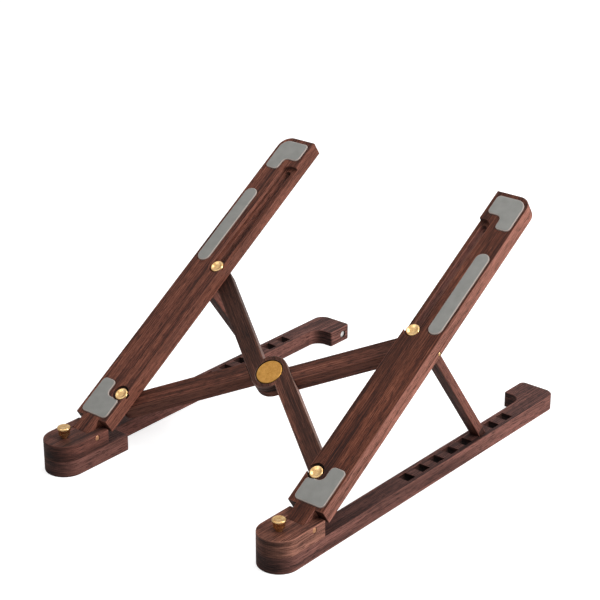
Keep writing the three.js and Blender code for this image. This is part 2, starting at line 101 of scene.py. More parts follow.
rail_low, rail_high = span("right_base_rail", BASE)
foot_low, foot_high = span("right_foot_block", BASE)
foot_pin_low, foot_pin_high = span("right_foot_pin", BASE)
magnet_low, magnet_high = span("right_magnet", BASE)
post_low, post_high = span("right_foot_post", BASE)
arm_low, arm_high = span("right_arm", ARMS)
lower_screw_low, lower_screw_high = span("right_lower_screw", ARMS)
upper_screw_low, upper_screw_high = span("right_upper_screw", ARMS)
hub_low, hub_high = span("hub_pin", ARMS)
hub_nut_low, hub_nut_high = span("hub_nut", ARMS)
nut_low, nut_high = span("right_lower_nut", ARMS)
prop_pin_low, prop_pin_high = span("right_prop_pin", ARMS)
middle_pad_low, middle_pad_high = span("right_middle_pad", ARMS)
upper_pad_low, upper_pad_high = span("right_upper_pad", ARMS)
lower_pad_low, lower_pad_high = span("right_lower_pad", ARMS)

OUTER_X = rail_high.x
FOOT_X = foot_low.x
LENGTH = rail_high.y
HOOK_X = rail_low.x
RAIL_TOP = rail_high.z
FOOT_TOP = foot_high.z
FOOT_LENGTH = foot_high.y
PIN_Y = (foot_pin_low.y + foot_pin_high.y) / 2
PIN_Z = (foot_pin_low.z + foot_pin_high.z) / 2
PIN_RADIUS = (foot_pin_high.z - foot_pin_low.z) / 2
POST_Y = (post_low.y + post_high.y) / 2
POST_RADIUS = (post_high.y - post_low.y) / 2
FOOT_MID_X = (OUTER_X + FOOT_X) / 2
MAGNET_RADIUS = (magnet_high.z - magnet_low.z) / 2
MAGNET_Y = (magnet_low.y + magnet_high.y) / 2
ARM_TOP = arm_high.z
ARM_UNDERSIDE = arm_low.z
ARM_END = arm_high.y
SCREW_X = (lower_screw_low.x + lower_screw_high.x) / 2
LOWER_SCREW_Y = (lower_screw_low.y + lower_screw_high.y) / 2
UPPER_SCREW_Y = (upper_screw_low.y + upper_screw_high.y) / 2
HEAD_RADIUS = (lower_screw_high.y - lower_screw_low.y) / 2
HEAD_TOP = lower_screw_high.z
HUB_Y = (hub_low.y + hub_high.y) / 2
HUB_RADIUS = (hub_high.y - hub_low.y) / 2
BAR_TOP = hub_high.z
BAR_UNDERSIDE = hub_low.z
NUT_RADIUS = (nut_high.y - nut_low.y) / 2
NUT_THICKNESS = nut_high.z - nut_low.z
HUB_NUT_RADIUS = (hub_nut_high.y - hub_nut_low.y) / 2
PROP_PIVOT_Y = (prop_pin_low.y + prop_pin_high.y) / 2
PROP_PIVOT_Z = (prop_pin_low.z + prop_pin_high.z) / 2
PROP_PIN_RADIUS = (prop_pin_high.y - prop_pin_low.y) / 2
PAD_TOP = middle_pad_high.z
PAD_BOTTOM = middle_pad_low.z

# What the boxes don't tell. First the rail and its foot.
NOSE_RADIUS = 12.4
RAIL_X = 82.5
BROAD_END_Y = 52
HOOK_Y = 245
HOOK_FILLET = 7
HOOK_OUTER_RADIUS = 7
HOOK_INNER_RADIUS = 3
SMALL_CORNER_RADIUS = 1
SLOT_COUNT = 8
SLOT_FIRST_Y = 117.05
SLOT_PITCH = 14.2
SLOT_LENGTH = 7
SLOT_WIDTH = 7.4
SLOT_DEPTH = 6
SLOT_X = 88.75
MORTISE_FRONT_Y = 24.3
MORTISE_FLOOR_Z = 13
PIN_DOME = 0.25
PIN_DOME_SHARE = 0.75

# The arm, from the tongue in the foot to the rounded head.
TONGUE_X = (76.3, 88.9)
TONGUE_NOSE = -2.3
TONGUE_UNDERSIDE = -4.2
TONGUE_TOP_RADIUS = 2.25
TONGUE_NOSE_RADIUS = 2.2
ARM_START = 9.8
ARM_CORNER_RADIUS = 8.5
SHANK_RADIUS = 2
HEAD_THICKNESS = 1.5
HEAD_DISH = 0.62
WELL_RADIUS = 5.2
WELL_DEPTH = 2.4
CHANNEL_TOP = -3.4
CHANNEL_Y = (122.2, 218.5)
CHANNEL_HALF = 4.4
CLOSED_ARM_X = 0.2
GRIP_RADIUS = 0.5
GRIP_DEPTH = 0.8

# The pads: corners, and where the L-shaped ones step.
PAD_LEG_X = 83
PAD_CORNER_RADIUS = 2.8
PAD_OUTER_CORNER_RADIUS = 6.3
PAD_NOTCH_RADIUS = 3.5
UPPER_PAD_Y = 222
LOWER_PAD_Y = 26.5
PAD_RIM_STEPS = 4

# The scissor brace. BAR_X is how far a bar's two edges stand from its long centre line.
BAR_X = (0.15, 11.35)
BAR_END_PAST_SCREW = 5.9
BAR_END_RADIUS = 5.4
BOSS_RADIUS = 11.4
HUB_DISC_THICKNESS = 1.5
HUB_WELL_RADIUS = 8.75
HUB_SHANK_RADIUS = 3

# The prop, with its pivot at the origin and its length along y.
PROP_LEAN = math.radians(54)
PROP_LENGTH = 90
PROP_FRONT = -3.5
PROP_BACK = 2
PROP_HALF_WIDTH = 3.9
PROP_HALF_TIP = 3.4
PROP_TIP_LENGTH = 7
PROP_BACK_RADIUS = 1.4
PROP_HEEL_RADIUS = 1.2
PROP_FRONT_RADIUS = 1
PROP_FRONT_START = 1.5

# GAP is the play between two pieces, PIN_PLAY that of a pin in its hole. PAST is how far a
# cutting tool runs past what it cuts, and HAIR keeps two faces from falling into one plane.
GAP = 0.3
PIN_PLAY = GAP / 3
PAST = 1
HAIR = 0.01

# Finish of the edges, and the rolled rim and slight crown of the pads. At each crown level: how
# far in from the rim it lies, and the share of the crown that is still to rise.
WOOD_EDGE = 0.45
CUT_EDGE = 0.16
BRASS_EDGE = 0.25
RIM = 0.42
CROWN = 0.05
CROWN_LEVELS = ((0.5, 0.4), (1.3, 0))

# How far the screws stand from a bar's long centre line, and how far the brace is opened.
BAR_REACH = math.hypot(SCREW_X, HUB_Y - LOWER_SCREW_Y)
SCREW_OFFSET = SCREW_X - FOOT_X + CLOSED_ARM_X
SCREW_ALONG_BAR = math.sqrt(BAR_REACH**2 - SCREW_OFFSET**2)
OPEN_ANGLE = math.atan2(SCREW_X, HUB_Y - LOWER_SCREW_Y) - math.asin(SCREW_OFFSET / BAR_REACH)
CLOSED_SCREW_Y = LOWER_SCREW_Y + 2 * SCREW_ALONG_BAR
CROSSING_Z = (BAR_TOP + BAR_UNDERSIDE) / 2


# ------------------------------------------------------------------ solids, in millimetres

# Material indices that tell faces, rounded edges and cut walls apart while a piece is made. Walnut paints shade
# onto the cut walls.
PLAIN, EDGE, PAINTED_SHADE_WALL = 0, 1, 2
ARC_STEP = math.radians(6)
ROUND_STEPS = 72
CURVE_STEPS = 4
# The largest share of a profile's leg that one rounded corner may take.
CURVE_SHARE = 0.45
scratch = [bpy.data.materials.new(f"scratch_{kind}") for kind in ("plain", "edge", "painted_shade_wall")]


def arc(x, y, radius, start, end):
    """Points round (x, y) from one angle to another. HAIR keeps rounding from adding a step, so
    that equal arcs get equal numbers of points."""
    steps = max(2, math.ceil(abs(end - start) / ARC_STEP - HAIR))
    turns = [start + (end - start) * i / steps for i in range(steps + 1)]
    return [(x + radius * math.cos(t), y + radius * math.sin(t)) for t in turns]


def outline(corners):
    """A closed outline through (x, y, radius) corners, each turned with an arc of its radius."""
    points = []
    for i, (x, y, *rest) in enumerate(corners):
        radius = rest[0] if rest else 0
        if radius == 0:
            points.append((x, y))
            continue
        corner = Vector((x, y))
        before = (Vector(corners[i - 1][:2]) - corner).normalized()
        after = (Vector(corners[(i + 1) % len(corners)][:2]) - corner).normalized()
        half = before.angle(after) / 2
        centre = corner + (before + after).normalized() * radius / math.sin(half)
        first = corner + before * radius / math.tan(half) - centre
        last = corner + after * radius / math.tan(half) - centre
        start = math.atan2(first.y, first.x)
        turn = (math.atan2(last.y, last.x) - start + math.pi) % math.tau - math.pi
        points += arc(centre.x, centre.y, radius, start, start + turn)
    return points


def sided(side, corners):
    return outline([(side * x, *rest) for x, *rest in corners])


def prism(points, low, high):
    """A shape drawn in plan, standing between two heights."""
    body = bmesh.new()
    bottom = [body.verts.new((x, y, low)) for x, y in points]
    top = [body.verts.new((x, y, high)) for x, y in points]
    body.faces.new(bottom)
    body.faces.new(top)
    for i in range(len(points)):
        body.faces.new((bottom[i - 1], bottom[i], top[i], top[i - 1]))
    bmesh.ops.recalc_face_normals(body, faces=body.faces)
    return body


def moved(body, matrix):
    bmesh.ops.transform(body, matrix=matrix, verts=body.verts)
    return body


def side_prism(points, low, high):
    """A shape drawn in side view (y, z), running between two values of x."""
    lay_down = Matrix(((0, 0, 1, 0), (1, 0, 0, 0), (0, 1, 0, 0), (0, 0, 0, 1)))
    return moved(prism(points, min(low, high), max(low, high)), lay_down)


def block(x0, x1, y0, y1, z0, z1):
    return prism([(x0, y0), (x1, y0), (x1, y1), (x0, y1)], z0, z1)


def circle(radius, x, y):
    return arc(x, y, radius, 0, math.tau)[:-1]


def rod(radius, x, y, z0, z1):
    return prism(circle(radius, x, y), z0, z1)


def side_rod(radius, x0, x1, y, z):
    return side_prism(circle(radius, y, z), x0, x1)


def turned(profile):
    """A closed body turned about z from (radius, height) points that start and end on the axis."""
    body = bmesh.new()
    turns = [math.tau * i / ROUND_STEPS for i in range(ROUND_STEPS)]
    rings = []
    for radius, height in profile:
        if radius == 0:
            places = [(0, 0)]
        else:
            places = [(radius * math.cos(t), radius * math.sin(t)) for t in turns]
        rings.append([body.verts.new((x, y, height)) for x, y in places])
    for below, above in zip(rings, rings[1:]):
        for i in range(ROUND_STEPS):
            around = [below[i - 1 if len(below) > 1 else 0], below[i if len(below) > 1 else 0]]
            around += [above[i if len(above) > 1 else 0], above[i - 1 if len(above) > 1 else 0]]
            body.faces.new(list(dict.fromkeys(around)))
    bmesh.ops.recalc_face_normals(body, faces=body.faces)
    return body


def rounded(profile, radius):
    """The same profile with its corners turned by small curves; the two ends stay put."""
    points = [profile[0]]
    for before, here, after in zip(profile, profile[1:], profile[2:]):
        corner = Vector(here)
        back = Vector(before) - corner
        on = Vector(after) - corner
        reach = min(radius, back.length * CURVE_SHARE, on.length * CURVE_SHARE)
        start = corner + back.normalized() * reach
        end = corner + on.normalized() * reach
        for i in range(CURVE_STEPS + 1):
            t = i / CURVE_STEPS
            points.append(tuple(start * (1 - t) ** 2 + corner * 2 * t * (1 - t) + end * t**2))
    points.append(profile[-1])
    return points


def to_object(body):
    mesh = bpy.data.meshes.new("scratch")
    body.to_mesh(mesh)
    body.free()
    for material in scratch:
        mesh.materials.append(material)
    obj = bpy.data.objects.new("scratch", mesh)
    bpy.context.scene.collection.objects.link(obj)
    return obj


def combine(body, tools, operation):
    work = to_object(body)
    others = [to_object(tool) for tool in tools]
    for other in others:
        modifier = work.modifiers.new("combine", "BOOLEAN")
        modifier.operation = operation
        modifier.solver = "EXACT"
        modifier.object = other
    bpy.context.view_layer.update()
    evaluated = work.evaluated_get(bpy.context.evaluated_depsgraph_get())
    result = bmesh.new()
    result.from_mesh(evaluated.to_mesh())
    evaluated.to_mesh_clear()
    for obj in (work, *others):
        data = obj.data
        bpy.data.objects.remove(obj)
        bpy.data.meshes.remove(data)
    return result


def cut(body, *tools, walls=PAINTED_SHADE_WALL):
    for tool in tools:
        for wall in tool.faces:
            wall.material_index = walls
    return combine(body, tools, "DIFFERENCE")


def soften(body, width, sharper_than=30, segments=3):
    """Rounds the outward edges that turn by more than the given angle."""
    limit = math.radians(sharper_than)
    edges = [e for e in body.edges if e.is_manifold and e.calc_face_angle_signed() > limit]
    bmesh.ops.bevel(body, geom=edges, offset=width, offset_type="OFFSET", segments=segments,
                    profile=0.5, affect="EDGES", clamp_overlap=False, material=EDGE)
    return body


def soften_cuts(body):
    """Takes the sharpness off the edges that the cuts left."""
    return soften(body, CUT_EDGE, sharper_than=50, segments=2)


# ------------------------------------------------------------------ pieces

GRAIN_DRIFT = Vector((31.7, 173.9, 57.3))
bodies = frame["record"]["behaviour"]["bodies"]
body_of_node = {node: body for body, nodes in bodies.items() for node in nodes}


def settle(node, body, place, material, seed=0):
    """Stands a finished piece in its place, for one CAD node and on that node's body. The seed
    moves it to a part of the grain that no other board shows."""
    mesh = bpy.data.meshes.new(f"{node}_piece")
    bmesh.ops.recalc_face_normals(body, faces=body.faces)
    body.to_mesh(mesh)
    body.free()
    drift = GRAIN_DRIFT * seed
    local = mesh.attributes.new("local", "FLOAT_VECTOR", "POINT")
    local.data.foreach_set("vector", [c for v in mesh.vertices for c in v.co + drift])
    for name, kind in (("edge", EDGE), ("painted_shade_wall", PAINTED_SHADE_WALL)):
        marked = mesh.attributes.new(name, "FLOAT", "FACE")
        marked.data.foreach_set("value", [float(f.material_index == kind) for f in mesh.polygons])
    facing = mesh.attributes.new("facing", "FLOAT_VECTOR", "FACE")
    facing.data.foreach_set("vector", [abs(c) for f in mesh.polygons for c in f.normal])
    low = min(v.co.y for v in mesh.vertices)
    high = max(v.co.y for v in mesh.vertices)
    along = mesh.attributes.new("along", "FLOAT", "POINT")
    along.data.foreach_set("value", [(v.co.y - low) / (high - low) for v in mesh.vertices])
    mesh.polygons.foreach_set("material_index", [PLAIN] * len(mesh.polygons))
    mesh.materials.append(material)
    mesh.shade_smooth()
    mesh.transform(place @ Matrix.Scale(MM, 4))
    piece = bpy.data.objects.new(mesh.name, mesh)
    bpy.context.scene.collection.objects.link(piece)
    normals = piece.modifiers.new("flat faces", "WEIGHTED_NORMAL")
    normals.weight = 100
    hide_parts(node)
    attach(piece, body_of_node[node])


# ------------------------------------------------------------------ base

def base_rail(side):
    board = prism(sided(side, [
        (OUTER_X, 0, NOSE_RADIUS),
        (OUTER_X, LENGTH, HOOK_OUTER_RADIUS),
        (HOOK_X, LENGTH, HOOK_INNER_RADIUS),
        (HOOK_X, HOOK_Y, SMALL_CORNER_RADIUS),
        (RAIL_X, HOOK_Y, HOOK_FILLET),
        (RAIL_X, BROAD_END_Y),
        (FOOT_X, BROAD_END_Y, SMALL_CORNER_RADIUS),
        (FOOT_X, 0, NOSE_RADIUS),
    ]), 0, RAIL_TOP)
    slots = []
    for i in range(SLOT_COUNT):
        y = SLOT_FIRST_Y + i * SLOT_PITCH
        x0 = side * SLOT_X - SLOT_WIDTH / 2
        y0 = y - SLOT_LENGTH / 2
        slots.append(block(x0, x0 + SLOT_WIDTH, y0, y0 + SLOT_LENGTH,
                           RAIL_TOP - SLOT_DEPTH, RAIL_TOP + PAST))
    pocket_end = HOOK_X + magnet_high.x - magnet_low.x + GAP
    pocket = side_rod(MAGNET_RADIUS + PIN_PLAY, side * (HOOK_X - PAST), side * pocket_end,
                      MAGNET_Y, RAIL_TOP / 2)
    return soften_cuts(cut(soften(board, WOOD_EDGE), *slots, pocket))


def foot_block(side):
    body = soften(prism(sided(side, [
        (OUTER_X, 0, NOSE_RADIUS),
        (OUTER_X, FOOT_LENGTH),
        (FOOT_X, FOOT_LENGTH),
        (FOOT_X, 0, NOSE_RADIUS),
    ]), RAIL_TOP - PAST, FOOT_TOP), WOOD_EDGE)
    below = block(-2 * OUTER_X, 2 * OUTER_X, -PAST, LENGTH, 0, RAIL_TOP)
    inner, outer = TONGUE_X
    mortise = block(side * (inner - GAP), side * (outer + GAP), MORTISE_FRONT_Y, FOOT_LENGTH + PAST,
                    MORTISE_FLOOR_Z, FOOT_TOP + PAST)
    pin_hole = side_rod(PIN_RADIUS + PIN_PLAY, side * (FOOT_X - PAST), side * (OUTER_X + PAST),
                        PIN_Y, PIN_Z)
    post_hole = rod(SHANK_RADIUS, side * FOOT_MID_X, POST_Y, post_low.z - PIN_PLAY, FOOT_TOP + PAST)
    return soften_cuts(cut(body, below, mortise, pin_hole, post_hole))


def foot_post():
    """A turned stop: tenon, short neck, and a deep head that flares to a dished top."""
    head = post_high.z
    neck = SHANK_RADIUS - PIN_PLAY
    profile = [
        (0, post_low.z),
        (neck, post_low.z),
        (neck, FOOT_TOP + 1.6),
        (2.9, FOOT_TOP + 1.65),
        (3.3, FOOT_TOP + 2.1),
        (3.4, FOOT_TOP + 4),
        (3.65, FOOT_TOP + 4.7),
        (POST_RADIUS - 0.05, head - 1.3),
        (POST_RADIUS, head - 0.5),
        (POST_RADIUS - 0.4, head),
        (2.6, head - 0.14),
        (0, head - 0.2),
    ]
    return turned(rounded(profile, 0.3))


def pin(radius, length):
    """A plain pin with domed ends, along z from 0."""
    shoulder = radius * PIN_DOME_SHARE
    return turned(rounded([
        (0, 0),
        (shoulder, 2 * HAIR),
        (radius, PIN_DOME),
        (radius, length - PIN_DOME),
        (shoulder, length - 2 * HAIR),
        (0, length),
    ], 0.2))


# ------------------------------------------------------------------ arms

def upper_pad_outline(side, grow):
    x0 = upper_pad_low.x - grow
    x1 = upper_pad_high.x + grow
    return sided(side, [
        (x0, UPPER_PAD_Y - grow, PAD_CORNER_RADIUS + grow),
        (PAD_LEG_X - grow, UPPER_PAD_Y - grow, PAD_NOTCH_RADIUS - grow),
        (PAD_LEG_X - grow, upper_pad_low.y - grow, PAD_CORNER_RADIUS + grow),
        (x1, upper_pad_low.y - grow, PAD_CORNER_RADIUS + grow),
        (x1, upper_pad_high.y + grow, PAD_OUTER_CORNER_RADIUS + grow),
        (x0, upper_pad_high.y + grow, PAD_CORNER_RADIUS + grow),
    ])


def middle_pad_outline(side, grow):
    x0 = middle_pad_low.x - grow
    x1 = middle_pad_high.x + grow
    radius = (x1 - x0) / 2 - HAIR
    y0 = middle_pad_low.y - grow
    y1 = middle_pad_high.y + grow
    return sided(side, [(x0, y0, radius), (x1, y0, radius), (x1, y1, radius), (x0, y1, radius)])


def lower_pad_outline(side, grow):
    x0 = lower_pad_low.x - grow
    x1 = lower_pad_high.x + grow
    return sided(side, [
        (x0, lower_pad_low.y - grow, PAD_CORNER_RADIUS + grow),
        (x1, lower_pad_low.y - grow, PAD_CORNER_RADIUS + grow),
        (x1, lower_pad_high.y + grow, PAD_CORNER_RADIUS + grow),
        (PAD_LEG_X - grow, lower_pad_high.y + grow, PAD_CORNER_RADIUS + grow),
        (PAD_LEG_X - grow, LOWER_PAD_Y + grow, PAD_NOTCH_RADIUS - grow),
        (x0, LOWER_PAD_Y + grow, PAD_CORNER_RADIUS + grow),
    ])


PAD_OUTLINES = {
    "upper": upper_pad_outline,
    "middle": middle_pad_outline,
    "lower": lower_pad_outline,
}


def lofted(draw, levels):
    """A body through an outline drawn at several (grow, height, kind) levels, bottom first."""
    body = bmesh.new()
    rings = [[body.verts.new((x, y, height)) for x, y in draw(grow)] for grow, height, _ in levels]
    body.faces.new(rings[0])
    body.faces.new(rings[-1])
    for below, above, (_, _, kind) in zip(rings, rings[1:], levels[1:]):
        for i in range(len(below)):
            face = body.faces.new((below[i - 1], below[i], above[i], above[i - 1]))
            face.material_index = kind
    bmesh.ops.recalc_face_normals(body, faces=body.faces)
    return body


def pad(side, spot):
    """A moulded silicone pad: a rolled rim round a top that swells a little."""
    levels = [(0, PAD_BOTTOM, PLAIN)]
    for i in range(PAD_RIM_STEPS + 1):
        turn = math.pi / 2 * i / PAD_RIM_STEPS
        grow = -RIM * (1 - math.cos(turn))
        levels.append((grow, PAD_TOP - CROWN - RIM * (1 - math.sin(turn)), EDGE))
    for inset, share_left in CROWN_LEVELS:
        levels.append((-RIM - inset, PAD_TOP - CROWN * share_left, PLAIN))
    sheet = lofted(lambda grow: PAD_OUTLINES[spot](side, grow), levels)
    if spot != "lower":
        return sheet
    well = rod(WELL_RADIUS + PIN_PLAY, side * SCREW_X, LOWER_SCREW_Y,
               PAD_BOTTOM - PAST, PAD_TOP + PAST)
    return soften_cuts(cut(sheet, well))


def arm(side):
    plank = prism(sided(side, [
        (FOOT_X, ARM_START),
        (OUTER_X, ARM_START),
        (OUTER_X, ARM_END, ARM_CORNER_RADIUS),
        (FOOT_X, ARM_END),
    ]), ARM_UNDERSIDE, ARM_TOP)
    inner, outer = TONGUE_X
    # A little below the plank's top, as two faces in one plane would spoil the union.
    tongue_top = ARM_TOP - 2 * HAIR
    tongue = side_prism(outline([
        (TONGUE_NOSE, tongue_top, TONGUE_TOP_RADIUS),
        (TONGUE_NOSE, TONGUE_UNDERSIDE, TONGUE_NOSE_RADIUS),
        (ARM_START + PAST, TONGUE_UNDERSIDE),
        (ARM_START + PAST, tongue_top),
    ]), side * inner, side * outer)
    foot_hole = side_rod(PIN_RADIUS + PIN_PLAY, side * (inner - PAST), side * (outer + PAST), 0, 0)
    pin_hole = side_rod(PROP_PIN_RADIUS + PIN_PLAY, side * (prop_pin_low.x - GAP),
                        side * (OUTER_X + PAST), PROP_PIVOT_Y, PROP_PIVOT_Z)
    channel = block(side * SLOT_X - CHANNEL_HALF, side * SLOT_X + CHANNEL_HALF, *CHANNEL_Y,
                    ARM_UNDERSIDE - PAST, CHANNEL_TOP)
    pad_floor = PAD_BOTTOM - GAP
    recesses = [prism(draw(side, GAP), pad_floor, ARM_TOP + PAST) for draw in PAD_OUTLINES.values()]
    joined = combine(soften(plank, WOOD_EDGE), [soften(tongue, CUT_EDGE)], "UNION")
    opened = cut(joined, screw_rabbet(side), screw_slot(side), walls=PLAIN)
    return soften_cuts(cut(opened, *screw_holes(side), channel, foot_hole, pin_hole, *recesses))


def screw_rabbet(side):
    """The rabbet that the upper screw's head slides in, open to the arm's inner side."""
    opening = FOOT_X - PAST
    foot = arc(SCREW_X, UPPER_SCREW_Y, WELL_RADIUS, -math.pi, 0)
    head = outline([
        (SCREW_X + WELL_RADIUS, CLOSED_SCREW_Y + WELL_RADIUS, WELL_RADIUS - HAIR),
        (opening, CLOSED_SCREW_Y + WELL_RADIUS),
        (opening, UPPER_SCREW_Y),
    ])
    return prism([(side * u, v) for u, v in foot + head], ARM_TOP - WELL_DEPTH, ARM_TOP + PAST)


def screw_slot(side):
    """The slot for the upper screw's shank, along the middle of the rabbet."""
    half = SHANK_RADIUS + GAP
    end = half - HAIR
    return prism(sided(side, [
        (SCREW_X - half, UPPER_SCREW_Y - half, end),
        (SCREW_X + half, UPPER_SCREW_Y - half, end),
        (SCREW_X + half, CLOSED_SCREW_Y + half, end),
        (SCREW_X - half, CLOSED_SCREW_Y + half, end),
    ]), ARM_UNDERSIDE - PAST, ARM_TOP)


def screw_holes(side):
    """The lower screw's counterbore and the hole for its shank."""
    x = side * SCREW_X
    return [
        rod(WELL_RADIUS, x, LOWER_SCREW_Y, ARM_TOP - WELL_DEPTH, ARM_TOP + PAST),
        rod(SHANK_RADIUS + GAP, x, LOWER_SCREW_Y, ARM_UNDERSIDE - PAST, ARM_TOP),
    ]


def screw():
    """A shank and a broad, shallowly dished head with a polished, rounded edge."""
    seat = HEAD_TOP - HEAD_THICKNESS
    profile = [
        (0, BAR_UNDERSIDE),
        (SHANK_RADIUS, BAR_UNDERSIDE),
        (SHANK_RADIUS, seat),
        (HEAD_RADIUS, seat),
        (HEAD_RADIUS, HEAD_TOP - 0.5),
        (HEAD_RADIUS - 0.6, HEAD_TOP),
        (HEAD_RADIUS - 1.1, HEAD_TOP - 0.08),
        (HEAD_RADIUS * 0.45, HEAD_TOP - 0.55),
        (HEAD_RADIUS * 0.2, HEAD_TOP - HEAD_DISH),
        (0, HEAD_TOP - HEAD_DISH),
    ]
    return turned(rounded(profile, BRASS_EDGE))


def nut(outer, inner):
    """A round nut with chamfered edges, sunk into the wood, with two holes to turn it by."""
    low = BAR_UNDERSIDE
    high = low + NUT_THICKNESS
    body = rod(outer, 0, 0, low, high)
    bore = rod(inner, 0, 0, low - PAST, high + PAST)
    grip_x = (outer + inner) / 2
    grips = [rod(GRIP_RADIUS, side * grip_x, 0, low - PAST, low + GRIP_DEPTH)
             for side in SIDES.values()]
    return soften_cuts(cut(soften(body, BRASS_EDGE), bore, *grips))


# ------------------------------------------------------------------ scissor brace

def bar_outline(side, grow):
    """Both halves of a bar and its boss, with y along the bar; each half keeps to one side."""
    inner = BAR_X[0] - grow
    outer = BAR_X[1] + grow
    boss = BOSS_RADIUS + 2 * grow
    end = SCREW_ALONG_BAR + BAR_END_PAST_SCREW + grow
    leaves = math.acos(outer / boss)
    meets = math.acos(inner / boss)
    half = outline([
        (outer, boss * math.sin(leaves)),
        (outer, end, BAR_END_RADIUS),
        (inner, end, BAR_END_RADIUS),
        (inner, boss * math.sin(meets)),
    ])
    half += arc(0, 0, boss, meets, math.pi + leaves)[1:-1]
    whole = half + [(-x, -y) for x, y in half]
    return [(side * x, y) for x, y in whole]


def scissor_bar(side):
    """Bar A (side 1) keeps its lower half at the crossing, and bar B (side -1) its upper half."""
    blank = soften(prism(bar_outline(side, 0), BAR_UNDERSIDE, BAR_TOP), WOOD_EDGE)
    below = BAR_UNDERSIDE - PAST
    above = BAR_TOP + PAST
    nut_roof = BAR_UNDERSIDE + NUT_THICKNESS + GAP
    if side == 1:
        taken = (CROSSING_Z - GAP / 2, above)
        hub_well = rod(HUB_NUT_RADIUS + GAP, 0, 0, below, nut_roof)
    else:
        taken = (below, CROSSING_Z + GAP / 2)
        hub_well = rod(HUB_WELL_RADIUS, 0, 0, BAR_TOP - HUB_DISC_THICKNESS - GAP, above)
    across = Matrix.Rotation(side * 2 * OPEN_ANGLE, 4, "Z")
    other = moved(prism(bar_outline(-side, GAP), *taken), across)
    tools = [other, rod(HUB_SHANK_RADIUS + GAP, 0, 0, below, above), hub_well]
    for end in (1, -1):
        x = end * side * SCREW_OFFSET
        y = end * SCREW_ALONG_BAR
        tools.append(rod(SHANK_RADIUS + GAP, x, y, below, above))
        tools.append(rod(NUT_RADIUS + GAP, x, y, below, nut_roof))
    return soften_cuts(cut(blank, *tools))


def hub_pin():
    seat = BAR_TOP - HUB_DISC_THICKNESS
    profile = [
        (0, BAR_UNDERSIDE),
        (HUB_SHANK_RADIUS, BAR_UNDERSIDE),
        (HUB_SHANK_RADIUS, seat),
        (HUB_RADIUS, seat),
        (HUB_RADIUS, BAR_TOP - 0.35),
        (HUB_RADIUS - 0.4, BAR_TOP),
        (HUB_RADIUS - 0.9, BAR_TOP - 0.06),
        (0, BAR_TOP - 0.08),
    ]
    return turned(rounded(profile, BRASS_EDGE))


# ------------------------------------------------------------------ props

def prop(side):
    """Pivot at the origin, y running down to the square-cut tip, whose sides draw in a little."""
    middle = side * SLOT_X
    strut = side_prism(outline([
        (-PROP_BACK, PROP_BACK, PROP_BACK_RADIUS),
        (PROP_LENGTH, PROP_BACK),
        (PROP_LENGTH, PROP_FRONT),
        (PROP_FRONT_START, PROP_FRONT, PROP_FRONT_RADIUS),
        (-PROP_BACK, 0, PROP_HEEL_RADIUS),
    ]), middle - PROP_HALF_WIDTH, middle + PROP_HALF_WIDTH)
    draw_in = PROP_HALF_WIDTH - PROP_HALF_TIP
    wedges = []
    for hand in SIDES.values():
        inner_start = hand * (PROP_HALF_WIDTH + draw_in / 2)
        inner_end = hand * (PROP_HALF_TIP - draw_in / 2)
        outer = hand * 2 * PROP_HALF_WIDTH
        start = PROP_LENGTH - 1.5 * PROP_TIP_LENGTH
        end = PROP_LENGTH + 0.5 * PROP_TIP_LENGTH
        wedges.append(prism([
            (middle + inner_start, start),
            (middle + outer, start),
            (middle + outer, end),
            (middle + inner_end, end),
        ], 2 * PROP_FRONT, -2 * PROP_FRONT))
    past_sides = 2 * PROP_HALF_WIDTH
    hole = side_rod(PROP_PIN_RADIUS + PIN_PLAY, middle - past_sides, middle + past_sides, 0, 0)
    return soften_cuts(cut(soften(cut(strut, *wedges), WOOD_EDGE), hole))


# ------------------------------------------------------------------ material nodes

def linear(red, green, blue):
    """An sRGB colour, 0 to 255, as the linear colour that a shader takes."""
    def one(value):
        value /= 255
        return value / 12.92 if value <= 0.04045 else ((value + 0.055) / 1.055) ** 2.4
    return (one(red), one(green), one(blue), 1)


